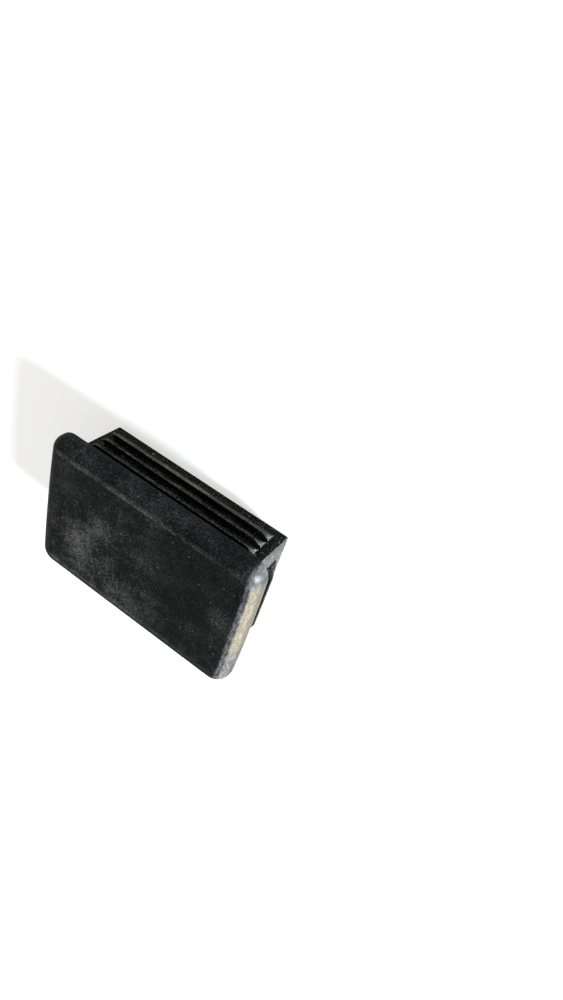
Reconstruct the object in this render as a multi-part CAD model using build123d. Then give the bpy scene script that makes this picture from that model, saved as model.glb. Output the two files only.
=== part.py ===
from build123d import *
import os

# Rectangular tube end cap, one moulding in black low-density polyethylene, in millimetres.
# It stands on the rear rim of its plug with the face up: +Z runs out of the face along the tube's
# axis, X follows the long side, and the origin is the centre of the rear rim.

# The tube that the cap closes
tube_width = 60.0
tube_height = 40.0
tube_wall = 2.0

# The head, which covers the tube's end
head_thickness = 4.2
head_corner = 4.2
head_bow = 0.45
head_flat = 6.0
head_round = 3.2
rim_break = 0.15
field_inset = 0.2
field_rise = 0.15
field_edge = 0.12
face_wall = 2.2

# The hollow plug behind the head
plug_length = 15.3
plug_wall = 1.8
plug_corner = 0.3
plug_lead = 0.2
core_draft = 0.5
core_corner = 0.5

# The barbed fins that grip the tube's inside
fin_rows = 3
fin_height = 2.6
fin_press = 0.25
fin_first = 2.5
fin_pitch = 3.2
fin_root = 2.6
fin_lean = 1.45
fin_land = 0.25
fin_turn = 2.1
fin_end_height = 1.7
short_fin_height = 2.1
long_corner_gap = 2.65
short_corner_gap = 5.6

# Sizes that follow from the ones above
bore_width = tube_width - 2 * tube_wall
bore_height = tube_height - 2 * tube_wall
plug_width = bore_width + 2 * (fin_press - fin_height)
plug_height = bore_height + 2 * (fin_press - fin_height)
shoulder_z = plug_length
rim_top_z = shoulder_z + head_thickness
field_margin = head_round + field_inset
ceiling_z = rim_top_z - face_wall


def head_outline():
    """The head seen from the front: straight long sides, and short ones that bow out to a short flat."""
    corner = (tube_width / 2 - head_bow, tube_height / 2)
    flat = Line((tube_width / 2, 0), (tube_width / 2, head_flat / 2))
    bowed_side = TangentArc(flat @ 1, corner, tangent=(0, 1))
    quarter = flat + bowed_side + Line(corner, (0, tube_height / 2))
    half = quarter + mirror(quarter, Plane.YZ)
    outline = make_face(half + mirror(half, Plane.XZ))
    corners = outline.vertices().sort_by_distance((0, 0, 0))[-4:]
    return fillet(corners, head_corner)


def head():
    """The head: a plate with a broad round all the way up its rim and a barely raised flat field."""
    outline = head_outline()
    plate = extrude(Pos(0, 0, shoulder_z) * outline, amount=head_thickness)
    plate = fillet(plate.faces().sort_by(Axis.Z)[-1].edges(), head_round)
    plate = fillet(plate.faces().sort_by(Axis.Z)[0].edges(), rim_break)
    field = extrude(Pos(0, 0, ceiling_z) * offset(outline, -field_margin), amount=face_wall + field_rise)
    field = fillet(field.faces().sort_by(Axis.Z)[-1].edges(), field_edge)
    return plate + field


def plug():
    """The plug: a plain box with tight corners and a small lead-in around its rear rim."""
    box = extrude(RectangleRounded(plug_width, plug_height, plug_corner), amount=plug_length)
    return chamfer(box.faces().sort_by(Axis.Z)[0].edges(), plug_lead)


def core():
    """The hollow of the plug, which opens at the rear and narrows a little towards the face."""
    mouth = RectangleRounded(plug_width - 2 * plug_wall, plug_height - 2 * plug_wall, core_corner)
    return extrude(mouth, amount=ceiling_z, taper=core_draft)


def fin(wall_distance, half_length, height, crest_z):
    """One barbed fin on the wall that faces +Y, leaning towards the head with a long ramp to the rear.

    Its crest is straight along the middle, turns in at both ends and is cut off square there.
    """
    root_z = crest_z - fin_lean * height / fin_height
    end_height = fin_end_height * height / fin_height
    sunk = plug_wall / 2
    profile = [
        (-sunk, root_z),
        (0, root_z),
        (height, crest_z),
        (height, crest_z - fin_land),
        (0, root_z - fin_root),
        (-sunk, root_z - fin_root),
    ]
    section = Plane.YZ * make_face(Polyline(*profile, close=True))
    bar = extrude(section, amount=half_length, both=True)

    straight = half_length - fin_turn
    crest = Line((-straight, height), (straight, height))
    right_turn = TangentArc((straight, height), (half_length, end_height), tangent=(1, 0))
    left_turn = TangentArc((-straight, height), (-half_length, end_height), tangent=(-1, 0))
    ends = Polyline(right_turn @ 1, (half_length, -sunk), (-half_length, -sunk), left_turn @ 1)
    plan = make_face(crest + right_turn + ends + left_turn)
    outline = extrude(Pos(0, 0, crest_z) * plan, amount=fin_lean + fin_root, both=True)
    return Pos(0, wall_distance, 0) * (bar & outline)


def fins():
    """The rows of fins on all four walls, which leave the plug's corners bare."""
    rows = []
    for row in range(fin_rows):
        crest_z = shoulder_z - fin_first - row * fin_pitch
        long_fin = fin(plug_height / 2, plug_width / 2 - long_corner_gap, fin_height, crest_z)
        short_fin = fin(plug_width / 2, plug_height / 2 - short_corner_gap, short_fin_height, crest_z)
        rows += [long_fin, Rot(0, 0, 180) * long_fin, Rot(0, 0, 90) * short_fin, Rot(0, 0, -90) * short_fin]
    return rows


end_cap = head() + plug()
for one_fin in fins():
    end_cap += one_fin
end_cap -= core()

os.makedirs("parts", exist_ok=True)
export_step(end_cap, "parts/end_cap.step")
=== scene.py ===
import math

import bmesh
import bpy
from mathutils import Matrix, Vector


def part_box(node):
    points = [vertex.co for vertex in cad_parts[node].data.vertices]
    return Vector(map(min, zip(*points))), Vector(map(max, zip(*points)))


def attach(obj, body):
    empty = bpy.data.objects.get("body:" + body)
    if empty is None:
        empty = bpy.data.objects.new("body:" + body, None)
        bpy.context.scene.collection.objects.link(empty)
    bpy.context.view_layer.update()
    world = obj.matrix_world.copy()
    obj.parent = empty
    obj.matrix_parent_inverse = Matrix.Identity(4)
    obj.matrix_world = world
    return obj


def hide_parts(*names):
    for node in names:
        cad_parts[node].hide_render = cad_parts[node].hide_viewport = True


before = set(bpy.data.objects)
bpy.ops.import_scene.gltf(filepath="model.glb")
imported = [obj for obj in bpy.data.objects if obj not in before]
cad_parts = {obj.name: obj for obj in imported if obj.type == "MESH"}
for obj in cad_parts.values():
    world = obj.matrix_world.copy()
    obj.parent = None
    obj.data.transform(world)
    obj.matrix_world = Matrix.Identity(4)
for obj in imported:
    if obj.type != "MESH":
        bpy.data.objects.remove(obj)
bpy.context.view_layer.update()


# The shell: head and plug in one moulding of soft black polyethylene, skinned ring by ring from
# the middle of the face, over the rounded rim, down the plug and up inside to the ceiling.
# The head covers the tube's end, and the open plug goes inside the tube.
cap_low, cap_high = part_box("end_cap")
half_long = (cap_high.x - cap_low.x) / 2
half_short = (cap_high.y - cap_low.y) / 2
face_z = cap_high.z
field_rise = 0.00015
head_top = face_z - field_rise
shoulder_z = 0.0153
head_corner = 0.0042
head_bow = 0.00045
head_flat = 0.0060
head_round = 0.0032
rim_break = 0.00015
field_inset = 0.0002
field_edge = 0.00012
face_sink = 0.00010
face_wall = 0.0022
plug_inset = 0.00435
plug_corner = 0.0003
plug_lead = 0.0002
plug_root = 0.0002
plug_root_cut = 0.00006
plug_wall = 0.0018
mouth_break = 0.00015
mouth_break_cut = 0.00004
ceiling_round = 0.0006
ceiling_round_cut = 0.00018
core_draft = math.radians(0.5)
middle_gap = 0.0004
slack = 0.0001
corner_steps = 12
ring_step = 0.0007


def ring(inset, corner, z, bow=0.0):
    """The points of one rounded rectangle, the same number for every ring of the shell.

    A bow draws its corners in along X, so that its short sides curve out to a short flat.
    """
    long_steps = round(2 * (half_long - head_corner) / ring_step)
    short_steps = round(2 * (half_short - head_corner) / ring_step)
    long_edge = half_long - inset - corner
    short_edge = half_short - inset - corner
    corners = [
        (long_edge, short_edge),
        (-long_edge, short_edge),
        (-long_edge, -short_edge),
        (long_edge, -short_edge),
    ]
    points = []
    for number, (centre_x, centre_y) in enumerate(corners):
        for step in range(corner_steps + 1):
            angle = math.radians(90 * (number + step / corner_steps))
            across = corner * math.cos(angle)
            along = corner * math.sin(angle)
            points.append(Vector((centre_x + across, centre_y + along, z)))
        steps = long_steps if number % 2 == 0 else short_steps
        next_x, next_y = corners[(number + 1) % 4]
        angle = math.radians(90 * (number + 1))
        begin = points[-1]
        end = Vector((next_x + corner * math.cos(angle), next_y + corner * math.sin(angle), z))
        points += [begin.lerp(end, step / steps) for step in range(1, steps)]
    for point in points:
        past_flat = max(abs(point.y) - head_flat / 2, 0.0) / (half_short - head_flat / 2)
        point.x *= 1 - bow / half_long * past_flat ** 2
    return points


def arc(inset, z, radius, start, stop, steps):
    """Insets and heights along a round in the shell's section, with the arc's centre at (inset, z)."""
    angles = [math.radians(start + (stop - start) * step / steps) for step in range(steps + 1)]
    return [(inset - radius * math.cos(angle), z + radius * math.sin(angle)) for angle in angles]


def straight(start, stop, steps):
    """Insets and heights along a straight stretch of the section, without its two ends."""
    shares = [step / steps for step in range(1, steps)]
    return [tuple(a + (b - a) * share for a, b in zip(start, stop)) for share in shares]


def eased(inset, z, size, cut, back, on):
    """Three points round a square corner of the section, which comes from one way and goes on another.

    The outer two stand off from the corner by the size, and the middle one by the cut on both sides.
    """
    stands = [(size, 0), (cut, cut), (0, size)]
    return [
        (inset + came * back[0] + goes * on[0], z + came * back[1] + goes * on[1])
        for came, goes in stands
    ]


field_margin = head_round + field_inset
middle_inset = half_short - middle_gap
ceiling_z = head_top - face_wall
core_inset = plug_inset + plug_wall
ceiling_inset = core_inset + math.tan(core_draft) * ceiling_z

section = [(middle_inset, face_z - face_sink)]
section += straight(section[-1], (field_margin + field_edge, face_z), 26)
section += arc(field_margin + field_edge, face_z - field_edge, field_edge, 90, 0, 3)
section += arc(head_round, head_top - head_round, head_round, 90, 0, 16)
section += straight(section[-1], (0, shoulder_z + rim_break), 3)
section += arc(rim_break, shoulder_z + rim_break, rim_break, 0, -90, 3)
root = eased(plug_inset, shoulder_z, plug_root, plug_root_cut, (-1, 0), (0, -1))
section += straight(section[-1], root[0], 6) + root
section += straight(section[-1], (plug_inset, plug_lead), 20)
section += [(plug_inset, plug_lead), (plug_inset + plug_lead, 0)]
mouth = eased(core_inset, 0, mouth_break, mouth_break_cut, (-1, 0), (0, 1))
section += straight(section[-1], mouth[0], 2) + mouth
ceiling = eased(ceiling_inset, ceiling_z, ceiling_round, ceiling_round_cut, (0, -1), (1, 0))
section += straight(section[-1], ceiling[0], 22) + ceiling
section += straight(section[-1], (middle_inset, ceiling_z), 16)
section += [(middle_inset, ceiling_z)]

shell_mesh = bmesh.new()
rings = []
for inset, z in section:
    corner = max(head_corner - inset, plug_corner)
    corner = min(corner, half_short - inset - slack)
    in_rim = z > shoulder_z - slack and inset < plug_inset - plug_root - slack
    in_head = in_rim or z > head_top
    bow = head_bow * min(1.0, (middle_inset - inset) / field_margin) if in_head else 0.0
    rings.append([shell_mesh.verts.new(point) for point in ring(inset, corner, z, bow)])
for upper, lower in zip(rings, rings[1:]):
    for number in range(len(upper)):
        after = (number + 1) % len(upper)
        shell_mesh.faces.new((upper[number], lower[number], lower[after], upper[after]))
shell_mesh.faces.new(rings[0])
shell_mesh.faces.new(list(reversed(rings[-1])))
bmesh.ops.recalc_face_normals(shell_mesh, faces=shell_mesh.faces)
cap_mesh = bpy.data.meshes.new("end_cap_moulding")
shell_mesh.to_mesh(cap_mesh)
shell_mesh.free()
cap = bpy.data.objects.new("end_cap_moulding", cap_mesh)
bpy.context.scene.collection.objects.link(cap)


# The fins: rows of soft barbs on all four walls of the plug, moulded with it. Each leans towards
# the head with a long ramp to the rear, so that it folds going into the tube and bites coming out.
# Their crests turn in near the corners and are cut off square there.
fin_rows = 3
fin_height = 0.0026
fin_first = 0.0025
fin_pitch = 0.0032
fin_root = 0.0026
fin_lean = 0.00145
fin_land = 0.00025
fin_turn = 0.0021
fin_end_height = 0.0017
short_fin_height = 0.0021
fin_edge = 0.00009
fin_wave = 0.00016
fin_wave_scale = 60.0
long_corner_gap = 0.00265
short_corner_gap = 0.0056
crest_blend = 0.00008
fin_steps = 72
fin_step_crowding = 0.4
fin_sunk = plug_wall / 2
flank_slope = fin_lean / fin_height
ramp_slope = (fin_lean + fin_root - fin_land) / fin_height
turn_drop = fin_height - fin_end_height
turn_radius = (fin_turn ** 2 + turn_drop ** 2) / (2 * turn_drop)


def node_adder(tree):
    """Gives a function that adds a node to this tree and links or sets its inputs by name or number."""
    def add(kind, inputs=(), **options):
        made = tree.nodes.new(kind)
        for option, value in options.items():
            setattr(made, option, value)
        for key, value in dict(inputs).items():
            for one in value if isinstance(value, list) else [value]:
                if isinstance(one, bpy.types.NodeSocket):
                    tree.links.new(one, made.inputs[key])
                else:
                    made.inputs[key].default_value = one
        return made.outputs
    return add


def maths(add, operation, *values):
    """One Math node on these values or links."""
    return add("ShaderNodeMath", enumerate(values), operation=operation)[0]


tree = bpy.data.node_groups.new("Barbed fins", "GeometryNodeTree")
tree.interface.new_socket("Geometry", in_out="INPUT", socket_type="NodeSocketGeometry")
tree.interface.new_socket("Geometry", in_out="OUTPUT", socket_type="NodeSocketGeometry")
tree_inputs = {
    "Rows": ("NodeSocketInt", fin_rows),
    "Pitch": ("NodeSocketFloat", fin_pitch),
    "First crest": ("NodeSocketFloat", shoulder_z - fin_first),
    "Height": ("NodeSocketFloat", fin_height),
    "Turn": ("NodeSocketFloat", fin_turn),
    "Turn radius": ("NodeSocketFloat", turn_radius),
    "Lean": ("NodeSocketFloat", fin_lean),
    "Short share": ("NodeSocketFloat", short_fin_height / fin_height),
    "Edge round": ("NodeSocketFloat", fin_edge),
    "Wave": ("NodeSocketFloat", fin_wave),
    "Seed": ("NodeSocketFloat", 3.0),
    "Half length": ("NodeSocketFloat", half_long - plug_inset),
    "Half width": ("NodeSocketFloat", half_short - plug_inset),
    "Long gap": ("NodeSocketFloat", long_corner_gap),
    "Short gap": ("NodeSocketFloat", short_corner_gap),
}
for socket_name, (kind, value) in tree_inputs.items():
    tree.interface.new_socket(socket_name, in_out="INPUT", socket_type=kind)
given = tree.nodes.new("NodeGroupInput").outputs
add = node_adder(tree)


def blade_line(half_length):
    """The line that a fin is swept along, with its steps crowded towards both ends."""
    line = add("GeometryNodeCurvePrimitiveLine", {"Start": (-1, 0, 0), "End": (1, 0, 0)})[0]
    line = add("GeometryNodeResampleCurve", {"Curve": line, "Count": fin_steps})[0]
    step = add("ShaderNodeSeparateXYZ", {0: add("GeometryNodeInputPosition")[0]})[0]
    squared = maths(add, "MULTIPLY", step, step)
    squeeze = maths(add, "MULTIPLY_ADD", squared, -fin_step_crowding, 1 + fin_step_crowding)
    crowded = maths(add, "MULTIPLY", maths(add, "MULTIPLY", step, squeeze), half_length)
    along = add("ShaderNodeCombineXYZ", {"X": crowded})[0]
    return add("GeometryNodeSetPosition", {"Geometry": line, "Position": along})[0]


def blade_section():
    """A fin's section: the undercut flank towards the head, a narrow land and the long ramp."""
    corners = [
        (-fin_sunk, -fin_lean - fin_root - fin_sunk * ramp_slope),
        (fin_height, -fin_land),
        (fin_height, 0),
        (-fin_sunk, -fin_lean - fin_sunk * flank_slope),
    ]
    places = {f"Point {number + 1}": (-out, -up, 0) for number, (out, up) in enumerate(corners)}
    outline = add("GeometryNodeCurvePrimitiveQuadrilateral", places, mode="POINTS")[0]
    rounding = {"Curve": outline, "Radius": given["Edge round"], "Count": 4}
    outline = add("GeometryNodeFilletCurve", rounding, mode="POLY")[0]
    return add("GeometryNodeSubdivideCurve", {"Curve": outline, "Cuts": 5})[0]


def blade(half_length, share):
    """One fin on a wall that faces +Y: its section swept along X and kept under the crest line.

    The share makes it lower than the full height, with its lean less in proportion.
    """
    sweep = {"Curve": blade_line(half_length), "Profile Curve": blade_section(), "Fill Caps": True}
    solid = add("GeometryNodeCurveToMesh", sweep)[0]

    place = add("ShaderNodeSeparateXYZ", {0: add("GeometryNodeInputPosition")[0]})
    straight_half = maths(add, "SUBTRACT", half_length, given["Turn"])
    past = maths(add, "SUBTRACT", maths(add, "ABSOLUTE", place[0]), straight_half)
    past = maths(add, "MAXIMUM", past, 0.0)
    past_squared = maths(add, "MULTIPLY", past, past)
    radius = given["Turn radius"]
    radius_squared = maths(add, "MULTIPLY", radius, radius)
    reach = maths(add, "SQRT", maths(add, "SUBTRACT", radius_squared, past_squared))
    crest = maths(add, "ADD", maths(add, "SUBTRACT", given["Height"], radius), reach)
    height = maths(add, "SMOOTH_MIN", place[1], crest, crest_blend)

    under = maths(add, "SUBTRACT", 1.0, maths(add, "DIVIDE", height, given["Height"]))
    lift = maths(add, "MULTIPLY", under, given["Lean"])
    lift = maths(add, "MULTIPLY", lift, maths(add, "SUBTRACT", 1.0, share))
    lower = maths(add, "MULTIPLY", height, share)
    raised = maths(add, "ADD", place[2], lift)
    held = add("ShaderNodeCombineXYZ", {"X": place[0], "Y": lower, "Z": raised})[0]
    return add("GeometryNodeSetPosition", {"Geometry": solid, "Position": held})[0]


def both_walls(half_length, wall, share):
    """The rows of fins on one wall and, turned half round, on the wall opposite."""
    start = add("ShaderNodeCombineXYZ", {"Y": wall, "Z": given["First crest"]})[0]
    offset = add("ShaderNodeCombineXYZ", {"Z": maths(add, "MULTIPLY", given["Pitch"], -1.0)})[0]
    row_line = {"Count": given["Rows"], "Start Location": start, "Offset": offset}
    rows = add("GeometryNodeMeshLine", row_line)[0]
    planting = {"Points": rows, "Instance": blade(half_length, share)}
    fins = add("GeometryNodeInstanceOnPoints", planting)[0]
    turned = add("GeometryNodeTransform", {"Geometry": fins, "Rotation": (0, 0, math.pi)})[0]
    return add("GeometryNodeJoinGeometry", {0: [fins, turned]})[0]


long_reach = maths(add, "SUBTRACT", given["Half length"], given["Long gap"])
short_reach = maths(add, "SUBTRACT", given["Half width"], given["Short gap"])
long_fins = both_walls(long_reach, given["Half width"], 1.0)
short_fins = both_walls(short_reach, given["Half length"], given["Short share"])
quarter_turn = {"Geometry": short_fins, "Rotation": (0, 0, math.pi / 2)}
short_fins = add("GeometryNodeTransform", quarter_turn)[0]
all_fins = add("GeometryNodeJoinGeometry", {0: [long_fins, short_fins]})[0]
all_fins = add("GeometryNodeRealizeInstances", {0: all_fins})[0]

wave = {
    "Vector": add("GeometryNodeInputPosition")[0],
    "W": given["Seed"],
    "Scale": fin_wave_scale,
    "Detail": 1.0,
}
uneven = add("ShaderNodeTexNoise", wave, noise_dimensions="4D")[0]
sway = maths(add, "MULTIPLY", maths(add, "SUBTRACT", uneven, 0.5), given["Wave"])
swayed = {"Geometry": all_fins, "Offset": add("ShaderNodeCombineXYZ", {"Z": sway})[0]}
all_fins = add("GeometryNodeSetPosition", swayed)[0]
joined = {"Mesh 2": [given["Geometry"], all_fins]}
moulded = add("GeometryNodeMeshBoolean", joined, operation="UNION", solver="EXACT")[0]


# The plastic: soft black polyethylene with the dull skin of a mould. Its two patterns are a fine
# grit, as coarse as the grain of the skin, and a drift of broad clouds with ragged edges, which
# also say where the dust below lies.
plastic = bpy.data.materials.new("black_polyethylene")
plastic.use_nodes = True
paint = node_adder(plastic.node_tree)
place = paint("ShaderNodeTexCoord")["Object"]
facing = paint("ShaderNodeSeparateXYZ", {0: paint("ShaderNodeTexCoord")["Normal"]})
spot = paint("ShaderNodeSeparateXYZ", {0: place})
off_x = maths(paint, "ABSOLUTE", spot[0])
off_y = maths(paint, "ABSOLUTE", spot[1])


def rise(value, low, high, bottom=0.0, top=1.0):
    """Maps a value smoothly from between low and high to between bottom and top."""
    inputs = {"Value": value, "From Min": low, "From Max": high, "To Min": bottom, "To Max": top}
    return paint("ShaderNodeMapRange", inputs, interpolation_type="SMOOTHSTEP")[0]


def noise(scale, detail, roughness, stretch=(1, 1, 1), seed=0.0):
    """A noise pattern on the piece, with this many features to the metre, and stretched."""
    mapped = paint("ShaderNodeMapping", {"Vector": place, "Scale": stretch})[0]
    inputs = {"Vector": mapped, "W": seed, "Scale": scale, "Detail": detail, "Roughness": roughness}
    return paint("ShaderNodeTexNoise", inputs, noise_dimensions="4D")[0]


def times(*values):
    """The product of these values."""
    product = values[0]
    for value in values[1:]:
        product = maths(paint, "MULTIPLY", product, value)
    return product


def plus(*values):
    """The sum of these values."""
    total = values[0]
    for value in values[1:]:
        total = maths(paint, "ADD", total, value)
    return total


def either(first, second):
    """The larger of two masks."""
    return maths(paint, "MAXIMUM", first, second)


def without(mask, share=1.0):
    """One where the mask is nothing, and less by this share of it elsewhere."""
    return plus(1.0, times(mask, -share))


def swing(pattern, gain):
    """How far a pattern departs from its middle, enlarged this many times."""
    return times(plus(pattern, -0.5), gain)


def mix(amount, below, above):
    """A colour mixed from the one below to the one above by the amount."""
    return paint("ShaderNodeMix", {"Factor": amount, 6: below, 7: above}, data_type="RGBA")[2]


grit = noise(2300, 2, 0.8, seed=1.0)
drift = noise(100, 6, 0.85, seed=2.0)
below_head = rise(spot[2], shoulder_z, shoulder_z - 0.0001)
on_head = without(below_head)
off_wall = either(plus(off_x, plug_inset - half_long), plus(off_y, plug_inset - half_short))
on_plug = times(below_head, rise(off_wall, -0.0012, -0.0006))
on_fin = times(below_head, rise(off_wall, 0.00004, 0.00012))
black = (0.0029, 0.0031, 0.0032, 1)


# The dust: a thin grey film over the black, in clouds on the face, thick on the fins' ramps and thin
# on their flanks, which also makes painted light on the ramps and painted shade on the flanks. A pale
# line runs round the raised field of the face, a scuff of dust lies near its caked end, and a bluer
# painted sheen, a painted reflection, runs down the long side.
cloud_place = (0.012, 0.009, face_z)
wiped_place = (-0.015, -0.0075, face_z)
scuff_place = (-0.0240, -0.0015, face_z)
line_y = half_short - field_margin - 0.00025
line_reach = 0.00095
line_core = 0.00005
line_end = half_long - 0.0035
line_fade = 0.0007
line_faint_x = -0.024
line_clear_x = 0.004


def near(centre, far, close):
    """One near this place on the head and fading to nothing far from it, with a ragged edge."""
    away = paint("ShaderNodeVectorMath", {0: place, 1: centre}, operation="DISTANCE")["Value"]
    return rise(plus(away, swing(drift, 0.006)), far, close)


mottle = either(plus(1.0, swing(drift, 36.0), swing(grit, 30.0)), 0.0)
motes = rise(grit, 0.61, 0.70)
salt = rise(noise(3200, 1, 0.6, seed=7.0), 0.60, 0.69)
settled = near(cloud_place, 0.025, 0.005)
wiped = near(wiped_place, 0.016, 0.006)
scuff = times(near(scuff_place, 0.0046, 0.0012), rise(grit, 0.42, 0.60))
inner_side = rise(off_y, line_y - line_reach, line_y - line_core)
outer_side = rise(off_y, line_y + line_reach, line_y + line_core)
line = times(inner_side, outer_side, rise(off_x, line_end + line_fade, line_end - line_fade))
line = times(line, rise(facing[2], 0.7, 0.9), rise(spot[0], line_faint_x, line_clear_x, 0.25, 1.0))
line = times(line, rise(noise(330, 4, 0.8, seed=4.0), 0.38, 0.60), rise(grit, 0.35, 0.65, 0.4, 1.5))
# Painted light and shade with the dust: the ramps get more film and read lit, the flanks little and read
# shaded.
ramps_dust_and_light = times(on_fin, rise(times(facing[2], -1.0), 0.3, 0.5))
flanks_clean_and_shaded = times(on_fin, rise(facing[2], 0.4, 0.7))
tips = times(on_fin, rise(off_wall, fin_height - 0.0006, fin_height - 0.0001), rise(grit, 0.46, 0.64))
# Painted sheen: a bluish painted reflection down the rim of the long side that faces -Y.
painted_sheen = times(rise(times(facing[1], -1.0), 0.1, 0.8), on_head)

# The film is dust with painted light in it: painted light on the ramps, painted sheen on the long side,
# painted shade on the flanks.
dust_and_painted_light = plus(0.0090, times(wiped, -0.0042), times(settled, 0.029))
dust_and_painted_light = times(plus(dust_and_painted_light, times(below_head, -0.0070), times(ramps_dust_and_light, 0.065)), mottle)
dust_and_painted_light = plus(dust_and_painted_light, times(painted_sheen, rise(drift, 0.40, 0.60, 0.010, 0.018), rise(grit, 0.36, 0.64, 0.1, 1.9)))
dust_and_painted_light = plus(dust_and_painted_light, times(salt, plus(0.05, times(below_head, 0.42))), times(motes, 0.05))
dust_and_painted_light = plus(dust_and_painted_light, times(tips, 0.12), times(scuff, 0.10), times(line, 0.20))
dust_and_painted_light = times(dust_and_painted_light, without(flanks_clean_and_shaded, 0.9))
# The pale of the film turns bluish on that long side, as painted reflection.
pale = mix(painted_sheen, (0.305, 0.300, 0.288, 1), (0.285, 0.303, 0.306, 1))
skin_colour = mix(dust_and_painted_light, black, pale)


# The caked side: chalk and dried mud on the head's rim at one short end, with painted light and
# reflection in its colour, beige in the middle, greyer towards one corner, and smeared thin over both
# edges as a painted falloff of that light. The same end of the plug is chalked grey with painted
# light, and so are the crests of its fins.
caked_lit_start = half_long - 0.0030
caked_lit_fade = 0.0003
wall_x = half_long - plug_inset
short_fin_end = half_short - plug_inset - short_corner_gap
grey_from_y = 0.002
grey_full_y = 0.012
grey_corner = half_short - 0.0060
grey_corner_full = half_short - 0.0035
sideways = times(facing[0], -1.0)
uneven_side = plus(sideways, swing(drift, 0.35), swing(grit, 0.12))
outside = either(on_plug, rise(off_x, caked_lit_start - caked_lit_fade, caked_lit_start + caked_lit_fade))
high_up = rise(off_x, wall_x + 0.00135, wall_x + 0.00185)
near_end = rise(off_y, short_fin_end - 0.00405, short_fin_end - 0.00155)
caked_lit_end = rise(spot[0], -wall_x - 0.00015, -wall_x - 0.00035)
crests = times(on_fin, caked_lit_end, either(high_up, near_end))
# Painted light: what faces the caked end takes the caked colour, partly dust and partly painted light and
# reflection; its edge towards the face is a painted falloff.
smeared_and_lit = times(outside, rise(uneven_side, 0.02, 0.26))
caked_and_lit = either(times(outside, rise(uneven_side, 0.40, 0.60)), crests)
streaks = noise(2000, 3, 0.8, (1, 0.25, 1), seed=5.0)
rust = rise(noise(1300, 2, 0.6, (1, 0.2, 1), seed=9.0), 0.52, 0.68)

# Colours of dust with painted light and reflection in them.
smear_and_light_colour = mix(rise(streaks, 0.38, 0.66), (0.022, 0.023, 0.023, 1), (0.145, 0.147, 0.144, 1))
grain = rise(plus(times(streaks, 0.5), times(grit, 0.5)), 0.40, 0.60)
beige_dust_and_light = mix(grain, (0.195, 0.173, 0.128, 1), (0.37, 0.330, 0.248, 1))
beige_dust_and_light = mix(times(rust, 0.55), beige_dust_and_light, (0.27, 0.195, 0.145, 1))
grain = rise(plus(times(drift, 0.6), times(grit, 0.9), -0.25), 0.41, 0.61)
wall_chalk_and_light = mix(grain, (0.07, 0.07, 0.068, 1), (0.27, 0.27, 0.262, 1))
rim_chalk_and_light = mix(rise(streaks, 0.36, 0.66), (0.10, 0.10, 0.095, 1), (0.28, 0.277, 0.262, 1))
greyer = either(rise(spot[1], grey_from_y, grey_full_y), rise(off_y, grey_corner, grey_corner_full))
greyer = either(greyer, below_head)
caked_and_lit_colour = mix(greyer, beige_dust_and_light, mix(below_head, rim_chalk_and_light, wall_chalk_and_light))
# Painted shade: the caked rim is painted darker where it faces straight out.
painted_side_shade = times(rise(sideways, 0.82, 1.0, 0.0, 0.5), on_head)
caked_and_lit_colour = mix(painted_side_shade, caked_and_lit_colour, (0.05, 0.05, 0.045, 1))
skin_colour = mix(smeared_and_lit, skin_colour, smear_and_light_colour)
skin_colour = mix(caked_and_lit, skin_colour, caked_and_lit_colour)


# The rubbed corner: one corner of the head is worn smooth, and a pale painted highlight lies on it,
# brightest in its middle.
highlight_place = (-0.0287, -0.0177, 0.0184)
smooth_corner_and_highlight = times(near(highlight_place, 0.0030, 0.0004), on_head)
# Painted highlight: bluish white in the middle, fading to a bluish grey halo.
painted_highlight = mix(near(highlight_place, 0.0016, 0.0001), (0.080, 0.089, 0.092, 1), (0.36, 0.385, 0.385, 1))
skin_colour = mix(times(smooth_corner_and_highlight, rise(streaks, 0.38, 0.56, 0.6, 1.0)), skin_colour, painted_highlight)


# The specks: pale grains of dust in two sizes, each with its own brightness. There are a few of the
# large ones all over, and more of the small ones where the dust drifts and on the plug.
def grains(scale, radius, spread, core, more, threshold, blend):
    """Round grains, one at most in each cell of a pattern with this many cells to the metre."""
    cells = paint("ShaderNodeTexVoronoi", {"Vector": place, "Scale": scale, "Randomness": 1.0})
    chance = paint("ShaderNodeSeparateColor", {0: cells["Color"]})
    disc = rise(cells["Distance"], plus(radius, times(chance[1], spread)), core)
    return times(disc, rise(plus(chance[0], more), threshold, threshold + blend), chance[2])


large_grains = grains(520.0, 0.06, 0.16, 0.04, times(below_head, 0.14), 0.83, 0.01)
skin_colour = mix(large_grains, skin_colour, (0.34, 0.33, 0.31, 1))
more_grains = plus(times(below_head, 0.12), swing(drift, 0.9))
small_grains = grains(1500.0, 0.10, 0.22, 0.05, more_grains, 0.93, 0.01)
skin_colour = mix(small_grains, skin_colour, (0.42, 0.41, 0.39, 1))


# The skin's feel: matt and finely grained all over, drier and rougher where it is caked, and smooth
# enough at the rubbed corner to catch the light of a window.
shader = plastic.node_tree.nodes["Principled BSDF"]
plastic.node_tree.links.new(skin_colour, shader.inputs["Base Color"])
roughness = plus(0.42, swing(grit, 0.2), times(caked_and_lit, plus(0.2, times(smooth_corner_and_highlight, -0.2))), times(smooth_corner_and_highlight, -0.22))
plastic.node_tree.links.new(roughness, shader.inputs["Roughness"])
shader.inputs["Specular IOR Level"].default_value = 0.025
relief = {
    "Height": plus(times(grit, 0.6), times(drift, 2.0), times(streaks, caked_and_lit, 0.8)),
    "Strength": plus(0.5, times(smooth_corner_and_highlight, -0.45)),
    "Distance": 0.00006,
}
plastic.node_tree.links.new(paint("ShaderNodeBump", relief)[0], shader.inputs["Normal"])


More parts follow.
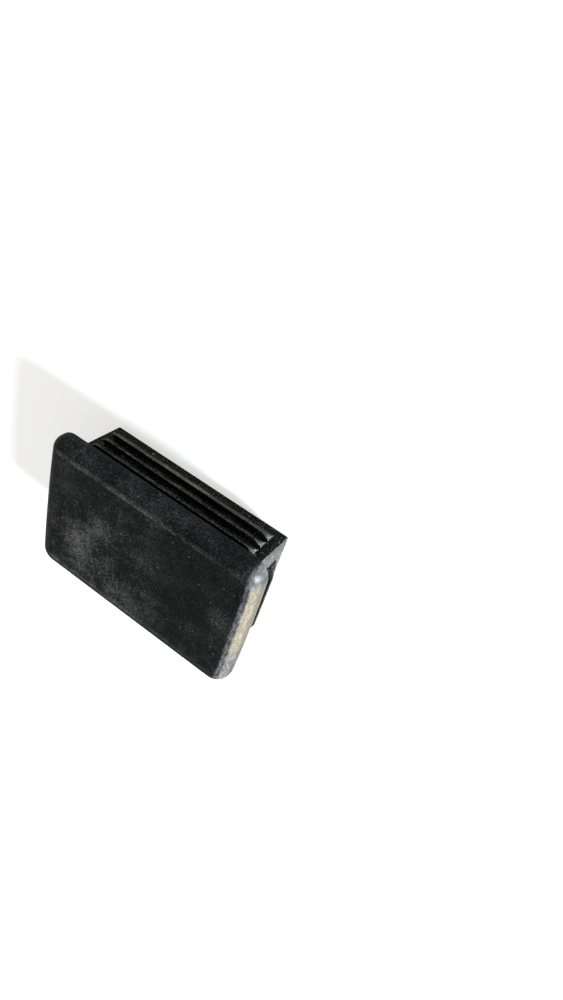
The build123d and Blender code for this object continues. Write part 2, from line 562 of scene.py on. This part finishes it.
# The finished moulding: shell and fins are one skin in one material, smooth with crisp edges. It
# stands for the cap's solid.
crisp_angle = math.radians(32)
sharp = maths(add, "GREATER_THAN", add("GeometryNodeInputMeshEdgeAngle")[0], crisp_angle)
smooth = {"Geometry": moulded, "Shade Smooth": True}
moulded = add("GeometryNodeSetShadeSmooth", smooth, domain="FACE")[0]
crisp = {"Geometry": moulded, "Selection": sharp, "Shade Smooth": False}
moulded = add("GeometryNodeSetShadeSmooth", crisp, domain="EDGE")[0]
moulded = add("GeometryNodeRealizeInstances", {0: moulded})[0]
moulded = add("GeometryNodeSetMaterial", {"Geometry": moulded, "Material": plastic})[0]
tree.links.new(moulded, tree.nodes.new("NodeGroupOutput").inputs[0])

modifier = cap.modifiers.new("Barbed fins", "NODES")
modifier.node_group = tree
for item in tree.interface.items_tree:
    if item.name in tree_inputs:
        modifier[item.identifier] = tree_inputs[item.name][1]
evaluated = cap.evaluated_get(bpy.context.evaluated_depsgraph_get())
cap.data = bpy.data.meshes.new_from_object(evaluated)
cap.modifiers.remove(modifier)
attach(cap, "root")
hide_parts("end_cap")


# The floor: a plain pale table top, dull and wide. It takes the cap's shadow, and glows a little
# where it is seen directly or in gloss, so that it reads as white there.
floor_size = 1.5
floor_glow = 0.45
floor_corners = [(-1, -1), (1, -1), (1, 1), (-1, 1)]
floor_points = [(x * floor_size, y * floor_size, 0) for x, y in floor_corners]
floor_mesh = bpy.data.meshes.new("floor")
floor_mesh.from_pydata(floor_points, [], [(0, 1, 2, 3)])
floor = bpy.data.objects.new("floor", floor_mesh)
bpy.context.scene.collection.objects.link(floor)


def seen_directly(add):
    """One for the rays that show a background: those of the camera, of gloss and through glass."""
    rays = add("ShaderNodeLightPath")
    shown = maths(add, "MAXIMUM", rays["Is Camera Ray"], rays["Is Glossy Ray"])
    return maths(add, "MAXIMUM", shown, rays["Is Transmission Ray"])


table = bpy.data.materials.new("pale_floor")
table.use_nodes = True
top = node_adder(table.node_tree)
table_skin = table.node_tree.nodes["Principled BSDF"]
table_skin.inputs["Base Color"].default_value = (0.75, 0.75, 0.745, 1)
table_skin.inputs["Roughness"].default_value = 0.8
table_skin.inputs["Specular IOR Level"].default_value = 0.1
glow = {"Color": (1, 1, 1, 1), "Strength": maths(top, "MULTIPLY", seen_directly(top), floor_glow)}
glowing = top("ShaderNodeAddShader", {0: table_skin.outputs[0], 1: top("ShaderNodeEmission", glow)[0]})
table.node_tree.links.new(glowing[0], table.node_tree.nodes["Material Output"].inputs[0])
floor_mesh.materials.append(table)


# The room: a soft surround that is pale at the horizon and dimmer overhead, and plain white where it
# is seen. A window low at the caked end shines on the rubbed corner, and a broad soft lamp stands
# over the near side.
world = bpy.data.worlds.new("studio")
bpy.context.scene.world = world
world.use_nodes = True
sky = node_adder(world.node_tree)
height = sky("ShaderNodeSeparateXYZ", {0: sky("ShaderNodeTexCoord")["Generated"]})[2]
overhead = {"Value": height, "From Min": 0.1, "From Max": 0.7, "To Min": 0.75, "To Max": 0.32}
dimming = sky("ShaderNodeMapRange", overhead)[0]
strength = maths(sky, "MAXIMUM", seen_directly(sky), dimming)
surround = world.node_tree.nodes["Background"]
surround.inputs["Color"].default_value = (1, 1, 1, 1)
world.node_tree.links.new(strength, surround.inputs["Strength"])


def soft_light(name, direction, distance, size, power, colour):
    """A square soft light that looks at the cap from this direction."""
    data = bpy.data.lights.new(name, "AREA")
    data.shape = "SQUARE"
    data.size = size
    data.energy = power
    data.color = colour
    light = bpy.data.objects.new(name, data)
    stand = Vector(direction).normalized() * distance
    light.location = stand
    light.rotation_euler = (-stand).to_track_quat("-Z", "Y").to_euler()
    bpy.context.scene.collection.objects.link(light)


soft_light("window", (-0.87, -0.03, 0.47), 0.8, 0.14, 11.0, (0.88, 0.94, 1.0))
soft_light("near_lamp", (0.30, -0.66, 0.64), 1.0, 0.5, 2.5, (1.0, 0.97, 0.93))


# The camera: held close and turned well over, looking down on the face and one finned long side.
# Its lens is a wide one, which makes the near end of the cap look larger.
camera_place = Vector((-0.05988, -0.11442, 0.11066))
camera_aim = Vector((-0.02099, -0.02405, 0.0004))
camera_roll = math.radians(129.56)
camera_data = bpy.data.cameras.new("camera")
camera_data.sensor_fit = "VERTICAL"
camera_data.sensor_height = 36
camera_data.lens = 24.06
camera_data.clip_start = 0.01
camera = bpy.data.objects.new("camera", camera_data)
camera.location = camera_place
look = (camera_aim - camera_place).to_track_quat("-Z", "Y").to_matrix()
camera.rotation_euler = (look @ Matrix.Rotation(-camera_roll, 3, "Z")).to_euler()
bpy.context.scene.collection.objects.link(camera)
bpy.context.scene.camera = camera
bpy.context.scene.view_settings.view_transform = "Standard"
